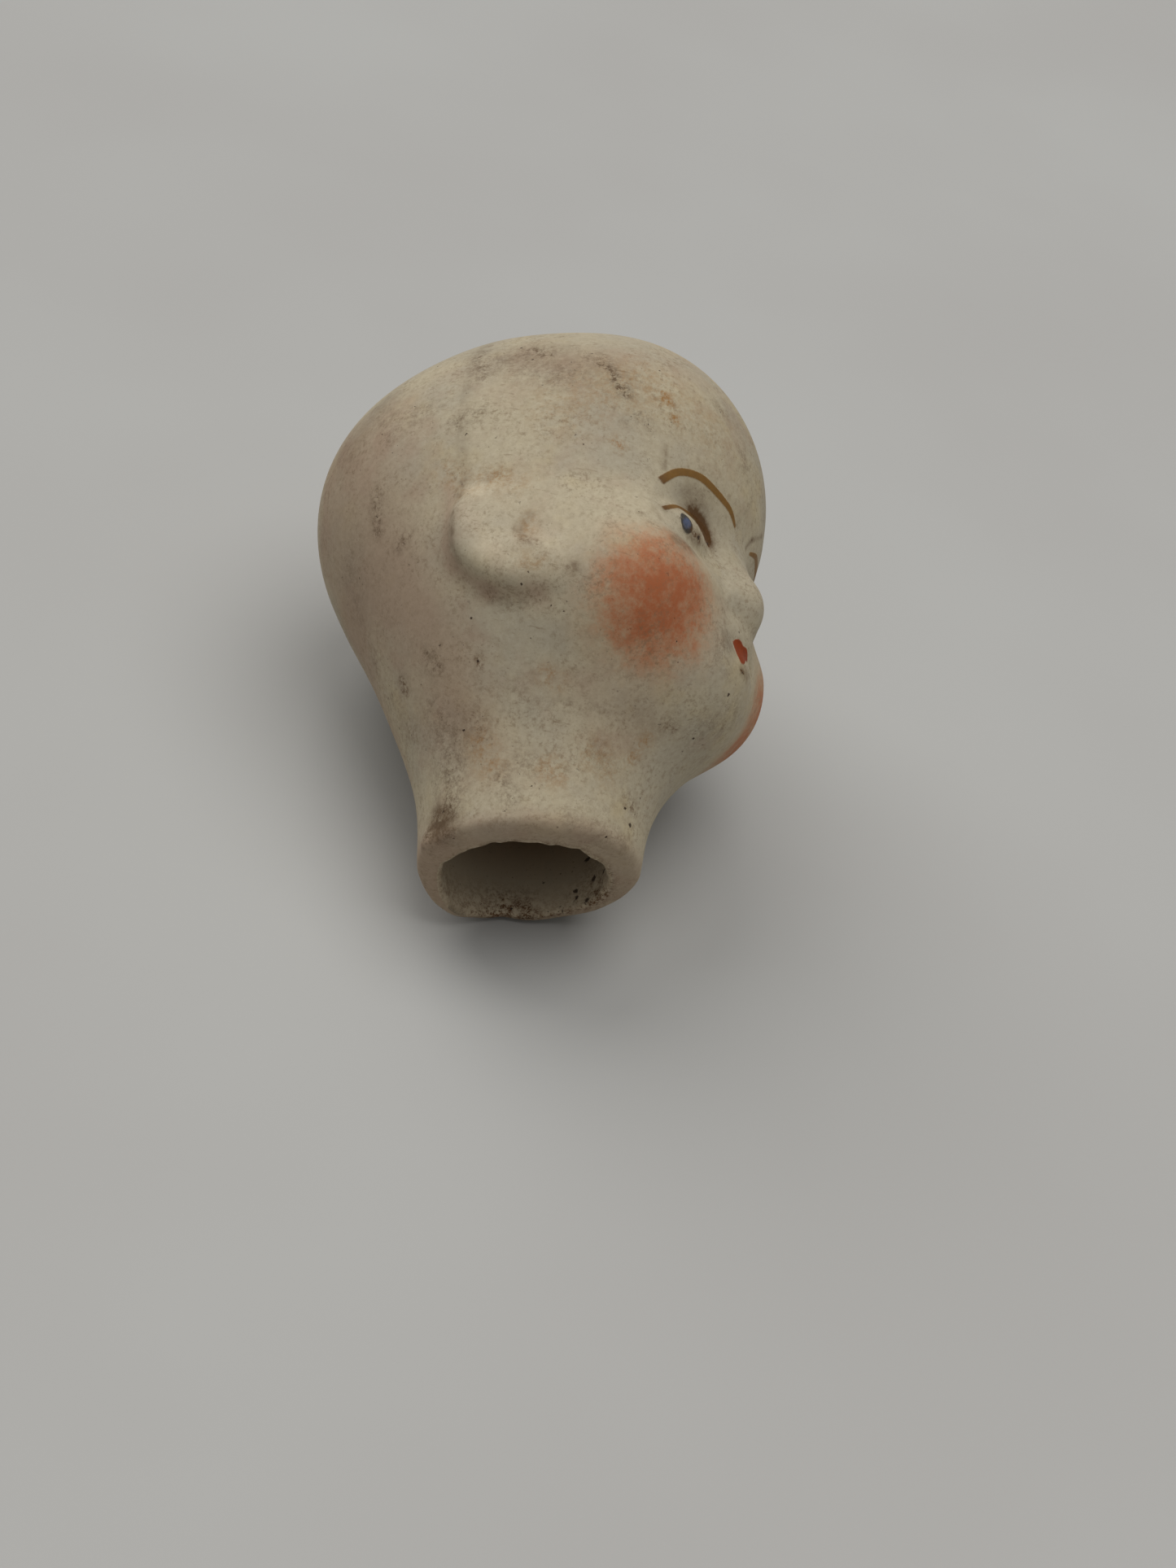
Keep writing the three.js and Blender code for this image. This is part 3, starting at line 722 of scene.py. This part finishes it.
def stroke_sheet(name, node, form, shares, side, seat, material):
    """A brush stroke along its curve, thin at the start and full at the end."""
    curve = smooth_curve(shares, stroke_steps)
    line_y = side * (form["y"] + form["half_wide"] * curve[:, 0])
    line = np.stack([line_y, form["z"] + form["half_high"] * curve[:, 1]], -1)
    along = np.gradient(line, axis=0)
    along /= np.linalg.norm(along, axis=1)[:, None]
    share = np.linspace(0, 1, stroke_steps)
    fullness = np.sqrt(np.sin(np.pi / 2 * share))
    half = (form["tip_width"] + (form["width"] - form["tip_width"]) * fullness) / 2
    across = np.linspace(-sheet_margin, sheet_margin, stroke_strips)
    sideways = np.stack([-along[:, 1], along[:, 0]], -1)
    yz = line[:, None] + across[None, :, None] * half[:, None, None] * sideways[:, None]
    ends = smooth_share(share, 0, stroke_start_share) * smooth_share(1 - share, 0, stroke_end_share)
    paint = (1 - smooth_share(np.abs(across), *stroke_edge_shares))[None] * ends[:, None]
    dark_end = smooth_share(share, dark_end_share, 1)[:, None] + 0 * paint
    paint_sheet(name, node, yz, paint, dark_end, seat, material)


def spot_sheet(name, node, middle, half_width, low, high, ring_share, seat, material):
    """A filled spot between its low and its high border, both functions of the place across it."""
    across = np.linspace(-sheet_margin, sheet_margin, spot_steps)
    u = np.clip(across, -spot_width_share, spot_width_share)
    centre = (low(u) + high(u)) / 2
    half = (high(u) - low(u)) / 2
    up = np.linspace(-sheet_margin, sheet_margin, spot_steps)
    y = middle + half_width * across
    z = centre[:, None] + half[:, None] * up[None]
    yz = np.stack([np.repeat(y[:, None], spot_steps, 1), z], -1)
    sides = 1 - smooth_share(np.abs(up), *spot_side_shares)
    ends = 1 - smooth_share(np.abs(across), *spot_end_shares)
    off_middle = across[:, None] ** 2 + ((z - centre[spot_steps // 2]) / half.max()) ** 2
    ring = ring_share * smooth_share(off_middle, *ring_shares)
    paint_sheet(name, node, yz, sides[None] * ends[:, None], ring, seat, material)


def round_half(u):
    return np.sqrt(np.maximum(blunt_share ** 2, 1 - u ** 2))


def iris_border(side, way):
    def border(u):
        middle = iris["z"] + side * u * iris["half_width"] * iris_lean_share
        return middle + way * iris["half_height"] * round_half(u)
    return border


def lip_top(u):
    dip = 1 - dent_share * np.exp(-(u / dent_width_share) ** 2)
    return lips["z"] + lips["peak"] * round_half(u) * dip


def lip_bottom(u):
    return lips["z"] - lips["bottom"] * round_half(u) ** 2 * np.exp(-(u - lip_point) ** 2)


def build_paint(seat, brown, blue, red):
    for name, side in (("right", -1), ("left", 1)):
        stroke_sheet(
            f"{name}_brow_stroke", f"{name}_brow_enamel",
            brow, brow_shares, side, seat, brown,
        )
        stroke_sheet(
            f"{name}_lid_stroke", f"{name}_lid_line_enamel",
            lid_line, lid_line_shares, side, seat, brown,
        )
        spot_sheet(
            f"{name}_iris_paint", f"{name}_iris_enamel", side * iris["y"],
            iris["half_width"], iris_border(side, -1), iris_border(side, 1), 1, seat, blue,
        )
    spot_sheet(
        "lip_paint", "lip_enamel",
        lips["y"], lips["half_width"], lip_bottom, lip_top, 0, seat, red,
    )


# Materials

class Nodes:
    """A small helper that adds shader nodes to one material."""

    def __init__(self, name):
        self.material = bpy.data.materials.new(name)
        self.material.use_nodes = True
        self.tree = self.material.node_tree
        self.shader = self.tree.nodes["Principled BSDF"]
        self.place = self.tree.nodes.new("ShaderNodeTexCoord").outputs["Object"]

    def link(self, source, socket):
        if isinstance(source, bpy.types.NodeSocket):
            self.tree.links.new(source, socket)
        else:
            socket.default_value = source

    def mark(self, name):
        node = self.tree.nodes.new("ShaderNodeAttribute")
        node.attribute_name = name
        return node.outputs["Fac"]

    def stretched(self, turn, long):
        """The place, turned about all axes and drawn out along one."""
        node = self.tree.nodes.new("ShaderNodeMapping")
        self.link(self.place, node.inputs["Vector"])
        node.inputs["Rotation"].default_value = [math.radians(angle) for angle in turn]
        node.inputs["Scale"].default_value = (1 / long, 1, 1)
        return node.outputs["Vector"]

    def noise(self, form, place=None):
        """The bare noise of one of the named patterns."""
        node = self.tree.nodes.new("ShaderNodeTexNoise")
        node.noise_dimensions = "4D"
        node.inputs["W"].default_value = form["seed"]
        node.inputs["Scale"].default_value = 1 / (form["size"] * mm)
        node.inputs["Detail"].default_value = form["detail"]
        node.inputs["Roughness"].default_value = form["rough"]
        self.link(place or self.place, node.inputs["Vector"])
        return node.outputs["Fac"]

    def math(self, kind, a, b, clamp):
        node = self.tree.nodes.new("ShaderNodeMath")
        node.operation = kind
        node.use_clamp = clamp
        self.link(a, node.inputs[0])
        self.link(b, node.inputs[1])
        return node.outputs["Value"]

    def times(self, a, b, clamp=False):
        return self.math("MULTIPLY", a, b, clamp)

    def plus(self, a, b, clamp=False):
        return self.math("ADD", a, b, clamp)

    def ramp(self, value, low, high, out_low=0.0, out_high=1.0):
        node = self.tree.nodes.new("ShaderNodeMapRange")
        node.interpolation_type = "SMOOTHSTEP"
        self.link(value, node.inputs["Value"])
        node.inputs["From Min"].default_value = low
        node.inputs["From Max"].default_value = high
        node.inputs["To Min"].default_value = out_low
        node.inputs["To Max"].default_value = out_high
        return node.outputs["Result"]

    def pattern(self, form, place=None):
        """A noise put through a ramp, as one of the named patterns says."""
        noise = self.noise(form, place)
        return self.ramp(noise, form["low"], form["high"], form.get("least", 0.0), form.get("most", 1.0))

    def mix(self, share, a, b):
        node = self.tree.nodes.new("ShaderNodeMix")
        node.data_type = "RGBA"
        self.link(share, node.inputs["Factor"])
        colours = [socket for socket in node.inputs if socket.type == "RGBA"]
        self.link(a, colours[0])
        self.link(b, colours[1])
        return [socket for socket in node.outputs if socket.type == "RGBA"][0]

    def bump(self, height, distance):
        node = self.tree.nodes.new("ShaderNodeBump")
        node.inputs["Strength"].default_value = grain_strength
        node.inputs["Distance"].default_value = distance * mm
        self.link(height, node.inputs["Height"])
        return node.outputs["Normal"]


def rgb(red, green, blue):
    """A colour as it is read off a screen, 0 to 255, as the shader takes it."""
    linear = []
    for value in (red, green, blue):
        share = value / 255
        linear.append(share / 12.92 if share <= 0.04045 else ((share + 0.055) / 1.055) ** 2.4)
    return (*linear, 1.0)


bisque_ivory = rgb(186, 174, 147)
bisque_grey = rgb(175, 165, 143)
bisque_yellow = rgb(186, 169, 132)
# Darker pink, both for the random pink clouds and as painted shade on the shaded side and the ear's edges
bisque_pink_and_shade = rgb(166, 143, 121)
age_brown = rgb(124, 104, 78)
dust_brown = rgb(98, 78, 56)
# Brown of the smears, which is also the painted shade in the eye's corner, under the eye and beside the
# mouth
smear_and_shade_brown = rgb(82, 53, 18)
dirt_brown = rgb(92, 62, 32)
speck_dark = rgb(58, 42, 28)
stain_orange = rgb(146, 106, 58)
rouge_halo = rgb(186, 140, 100)
rouge_colour = rgb(170, 98, 60)
# Pale bisque, laid as painted highlight on the ear and beside the nose, and as the eye's white
bisque_pale_and_highlight = rgb(202, 188, 160)
hollow_tone = rgb(176, 160, 134)
# Darker brown laid as painted shade deep in the hollow
hollow_shade_brown = rgb(140, 108, 74)
brow_brown = rgb(126, 88, 30)
brow_dark = rgb(96, 62, 24)
iris_blue = rgb(70, 84, 116)
iris_ring = rgb(44, 42, 40)
lip_red = rgb(141, 55, 2)
lip_dark = rgb(104, 40, 2)
floor_pale = rgb(178, 177, 173)
floor_grey = rgb(174, 172, 168)

# Patterns: size in millimetres, detail, roughness and seed of a noise, where its ramp starts and ends,
# and what it gives there, 0 and 1 if nothing is said
grey_clouds = dict(size=6, detail=3, rough=0.55, seed=1, low=0.4, high=0.65)
yellow_clouds = dict(size=4.5, detail=4, rough=0.6, seed=2, low=0.5, high=0.72, most=0.6)
pink_clouds = dict(size=3.6, detail=4, rough=0.6, seed=3, low=0.45, high=0.75, least=-0.1, most=0.55)
mottle = dict(size=0.5, detail=5, rough=0.72, seed=4, low=0.35, high=0.7, least=0.2, most=0)
rouge_powder = dict(size=0.26, detail=4, rough=0.7, seed=5, low=0.25, high=0.72, least=0.82)
rouge_dabs = dict(size=1.6, detail=5, rough=0.72, seed=6, low=0.3, high=0.7, least=0.62, most=1.25)
toned_patches = dict(size=3.2, detail=4, rough=0.6, seed=18, low=0.38, high=0.66, least=0.25)
toned_grains = dict(size=0.34, detail=5, rough=0.75, seed=19, low=0.48, high=0.64, most=0.6)
rubbed_streaks = dict(size=0.32, detail=4, rough=0.65, low=0.57, high=0.7, most=0.55)
rubbed_places = dict(size=5, detail=3, rough=0.6, low=0.45, high=0.62)
grime_patches = dict(detail=5, rough=0.75, low=0.4, high=0.6)
grime_grains = dict(detail=3, rough=0.7, low=0.36, high=0.6, least=0.35)
smear_and_shade_grains = dict(size=0.5, detail=4, rough=0.65, seed=25, low=0.3, high=0.65, least=0.45)
seam_breaks = dict(size=1.2, detail=4, rough=0.7, seed=10, low=0.35, high=0.7, least=0.12, most=0.4)
speck_clusters = dict(size=2.4, detail=4, rough=0.65, seed=11, low=0.44, high=0.66, least=0.25)
fine_specks = dict(size=0.2, detail=3, rough=0.6, seed=12, low=0.6, high=0.72)
coarse_specks = dict(size=0.36, detail=2, rough=0.5, seed=13, low=0.7, high=0.735)
hollow_edge = dict(size=0.6, detail=3, rough=0.6, seed=14, low=0.2, high=0.8, least=-0.3, most=0.3)
dot_edge = dict(size=0.25, detail=3, rough=0.6, seed=26, low=0.3, high=0.7, least=0.6, most=1.5)
bisque_gloss = dict(size=0.8, detail=3, rough=0.5, seed=17, low=0.3, high=0.7, least=0.72, most=0.88)
fine_grain = dict(size=0.14, detail=3, rough=0.6, seed=15)
wide_grain = dict(size=1.2, detail=3, rough=0.5, seed=16)
paint_streaks = dict(size=0.4, detail=3, rough=0.6, low=0.35, high=0.7)
paint_edge = dict(size=0.16, detail=4, rough=0.7, low=0.2, high=0.8, least=-0.22, most=0.14)
floor_clouds = dict(size=60, detail=3, rough=0.5, seed=31, low=0.3, high=0.7)

# Grime by the kind of its marks, with its gain
grimes = (
    dict(kind="warm", size=0.8, seed=7, gain=1.05, colour=stain_orange),
    dict(kind="dust", size=0.55, seed=8, gain=0.95, colour=dust_brown),
    dict(kind="brown", size=0.45, seed=9, gain=1.25, colour=dirt_brown),
)
grains_across = 3
grain_seed_step = 30

# Rubbed streaks: their turn about the three axes in degrees, and the seed of their noise
rubbed_ways = (((20, 35, 50), 20), ((-60, 10, 115), 21))
rubbed_long = 7
place_seed_step = 2

# How strongly each layer covers the one below, and where the ramps of the blush and the hollow run
pink_and_shade_share = 0.85
pale_and_highlight_share = 0.9
smear_and_shade_share = 0.95
fine_speck_share = 0.6
dot_share = 0.95
halo_shares = (0, 0.7, 0, 0.7)
full_rouge_shares = (0.2, 0.95)
hollow_shares = (0.45, 0.8)
ring_dark_share = 0.9
paint_start_share = 0.12

# The grain of the surface, in millimetres, and the gloss of the bisque and the paint
fine_grain_share = 0.4
wide_grain_share = 1.1
grain_strength = 0.35
bisque_grain = 0.05
paint_grain = 0.04
bisque_specular = 0.3
paint_specular = 0.2
bare_rough_share = 0.8
paint_rough_share = 0.6
floor_rough_share = 0.9
floor_specular = 0.1


def tinted(n):
    """The bare porcelain, in clouds of ivory, grey, yellow and pink, with a darker pink as painted shade on
    the shaded side and pale painted highlights.
    """
    colour = n.mix(n.pattern(grey_clouds), bisque_ivory, bisque_grey)
    colour = n.mix(n.pattern(yellow_clouds), colour, bisque_yellow)
    # Pink clouds, with darker pink as painted shade on the shaded side and along the ear's edges
    pink_and_shade = n.plus(n.mark("pink_and_shade"), n.pattern(pink_clouds), True)
    colour = n.mix(n.times(pink_and_shade, pink_and_shade_share), colour, bisque_pink_and_shade)
    # Painted highlights in pale on the ear and beside the nose, and the eye's white
    colour = n.mix(n.times(n.mark("pale_and_highlight"), pale_and_highlight_share, True), colour, bisque_pale_and_highlight)
    return n.mix(n.pattern(mottle), colour, age_brown)


def blushed(n, colour):
    """The dabbed cheek colour: a thin orange halo round the full red."""
    blush = n.times(n.mark("rouge"), n.times(n.pattern(rouge_dabs), n.pattern(rouge_powder)), True)
    halo = n.mix(n.ramp(blush, *halo_shares), colour, rouge_halo)
    return n.mix(n.ramp(blush, *full_rouge_shares), halo, rouge_colour)


def aged(n, colour):
    """Fine brown toning all over, denser in patches, and rubbed streaks."""
    colour = n.mix(n.times(n.pattern(toned_grains), n.pattern(toned_patches)), colour, age_brown)
    for turn, seed in rubbed_ways:
        rubbed = n.pattern(dict(rubbed_streaks, seed=seed), n.stretched(turn, rubbed_long))
        where = n.pattern(dict(rubbed_places, seed=seed + place_seed_step))
        colour = n.mix(n.times(rubbed, where), colour, age_brown)
    return colour


def grimy(n, colour, grime):
    """Grime in ragged grains, where the marks of its kind are."""
    size, seed = grime["size"], grime["seed"]
    wide = n.pattern(dict(grime_patches, size=size, seed=seed))
    fine = n.pattern(dict(grime_grains, size=size / grains_across, seed=seed + grain_seed_step))
    grains = n.times(n.times(wide, fine), grime["gain"])
    return n.mix(n.times(n.mark(grime["kind"]), grains, True), colour, grime["colour"])


def soiled(n, colour):
    """Stains, dust and specks, and smears that are partly painted shade, denser where the marks are."""
    # The smears, partly painted shade
    smear_and_shade = n.times(n.mark("smear_and_shade"), n.pattern(smear_and_shade_grains), True)
    colour = n.mix(n.times(smear_and_shade, smear_and_shade_share), colour, smear_and_shade_brown)
    for grime in grimes:
        colour = grimy(n, colour, grime)
    seam = n.times(n.mark("seam"), n.pattern(seam_breaks))
    colour = n.mix(seam, colour, dust_brown)
    near_dirt = n.plus(n.pattern(speck_clusters), n.plus(n.mark("dust"), n.mark("brown")), True)
    fine = n.times(n.pattern(fine_specks), near_dirt)
    colour = n.mix(n.times(fine, fine_speck_share), colour, dust_brown)
    return n.mix(n.times(n.pattern(coarse_specks), near_dirt), colour, speck_dark)


def bisque_colour(n):
    """The unglazed porcelain with its blush, dust, stains and specks, painted shade and highlights, and the
    hollow, darker deeper in as painted shade.
    """
    ragged = n.plus(n.mark("inside"), n.pattern(hollow_edge))
    skin = aged(n, blushed(n, tinted(n)))
    # Painted shade: the hollow turns darker brown deeper in
    hollow = n.mix(n.mark("deep"), hollow_tone, hollow_shade_brown)
    return soiled(n, n.mix(n.ramp(ragged, *hollow_shares), skin, hollow))


def grain(n):
    """The height of the bisque's fine tooth and of its slow unevenness."""
    fine = n.times(n.noise(fine_grain), fine_grain_share)
    wide = n.times(n.noise(wide_grain), wide_grain_share)
    return n.plus(fine, wide)


def dotted(n, colour, dots):
    """Ragged dark dots at their places."""
    ragged = n.pattern(dot_edge)
    for middle, size in dots:
        node = n.tree.nodes.new("ShaderNodeVectorMath")
        node.operation = "DISTANCE"
        n.link(n.place, node.inputs[0])
        node.inputs[1].default_value = middle
        off = n.times(node.outputs["Value"], ragged)
        colour = n.mix(n.ramp(off, size / 2 * mm, size * mm, dot_share, 0), colour, speck_dark)
    return colour


def bisque_material(dots):
    n = Nodes("bisque")
    n.link(dotted(n, bisque_colour(n), dots), n.shader.inputs["Base Color"])
    n.link(n.pattern(bisque_gloss), n.shader.inputs["Roughness"])
    n.link(n.bump(grain(n), bisque_grain), n.shader.inputs["Normal"])
    n.shader.inputs["Specular IOR Level"].default_value = bisque_specular
    return n.material


def paint_material(name, colour, second, second_share, cover, soft, seed):
    """Fired paint in two colours, worn through to the porcelain along its border."""
    n = Nodes(name)
    streak = n.pattern(dict(paint_streaks, seed=seed, most=second_share))
    streak = n.plus(streak, n.times(n.mark("ring"), ring_dark_share), True)
    enamel = n.mix(streak, colour, second)
    ragged = n.plus(n.mark("paint"), n.pattern(dict(paint_edge, seed=seed + 1)))
    covered = n.ramp(ragged, paint_start_share, soft, 0, cover)
    n.link(soiled(n, n.mix(covered, tinted(n), enamel)), n.shader.inputs["Base Color"])
    n.link(n.ramp(covered, 0, 1, bare_rough_share, paint_rough_share), n.shader.inputs["Roughness"])
    n.link(n.bump(grain(n), paint_grain), n.shader.inputs["Normal"])
    n.shader.inputs["Specular IOR Level"].default_value = paint_specular
    return n.material


def floor_material():
    n = Nodes("floor_card")
    tone = n.mix(n.pattern(floor_clouds), floor_pale, floor_grey)
    n.link(tone, n.shader.inputs["Base Color"])
    n.shader.inputs["Roughness"].default_value = floor_rough_share
    n.shader.inputs["Specular IOR Level"].default_value = floor_specular
    return n.material


# Floor, lights and camera, in millimetres and degrees

floor_half = 2000
near_clip = 5
room_tint = (0.97, 0.985, 1.0, 1.0)
room_strength = 0.24
lamp_spread = 50
# Each lamp's way towards the light, and its strength
lamps = dict(window=((-0.5, 0.5, 0.707), 0.455), ceiling=((0.22, 0, 0.975), 0.42))


def build_floor():
    half = floor_half * mm
    corners = [(-half, -half, 0), (half, -half, 0), (half, half, 0), (-half, half, 0)]
    mesh = bpy.data.meshes.new("floor")
    mesh.from_pydata(corners, [], [(0, 1, 2, 3)])
    mesh.materials.append(floor_material())
    floor = bpy.data.objects.new("floor", mesh)
    bpy.context.scene.collection.objects.link(floor)


def build_lights():
    world = bpy.data.worlds.new("room")
    world.use_nodes = True
    background = world.node_tree.nodes["Background"]
    background.inputs["Color"].default_value = room_tint
    background.inputs["Strength"].default_value = room_strength
    bpy.context.scene.world = world
    for name, (toward, strength) in lamps.items():
        light = bpy.data.lights.new(name, "SUN")
        light.energy = strength * math.pi
        light.angle = math.radians(lamp_spread)
        lamp = bpy.data.objects.new(name, light)
        lamp.rotation_euler = Vector(toward).to_track_quat("Z", "Y").to_euler()
        bpy.context.scene.collection.objects.link(lamp)


def build_camera():
    data = bpy.data.cameras.new("photo_view")
    data.sensor_fit = "AUTO"
    data.sensor_width = sensor
    data.lens = photo_focal / photo_high * sensor
    data.clip_start = near_clip * mm
    camera = bpy.data.objects.new("photo_view", data)
    camera.location = [length * mm for length in camera_place]
    camera.rotation_euler = [math.radians(angle) for angle in camera_turn]
    bpy.context.scene.collection.objects.link(camera)
    bpy.context.scene.camera = camera


rows, outer_count, mouth_row = casting_rows()
laying = laying_of(rows[:outer_count].reshape(-1, 3))
places = mark_places(laying)
seat = (laying, places)
build_casting(rows, mouth_row, seat, bisque_material(places["dots"]))
build_paint(
    seat,
    paint_material("brown_enamel", brow_brown, brow_dark, second_share=0.3, cover=0.95, soft=0.95, seed=41),
    paint_material("blue_enamel", iris_blue, iris_ring, second_share=0.35, cover=0.95, soft=1.05, seed=43),
    paint_material("red_enamel", lip_red, lip_dark, second_share=0.35, cover=1, soft=0.7, seed=45),
)
build_floor()
build_lights()
build_camera()
bpy.context.scene.view_settings.view_transform = "Standard"
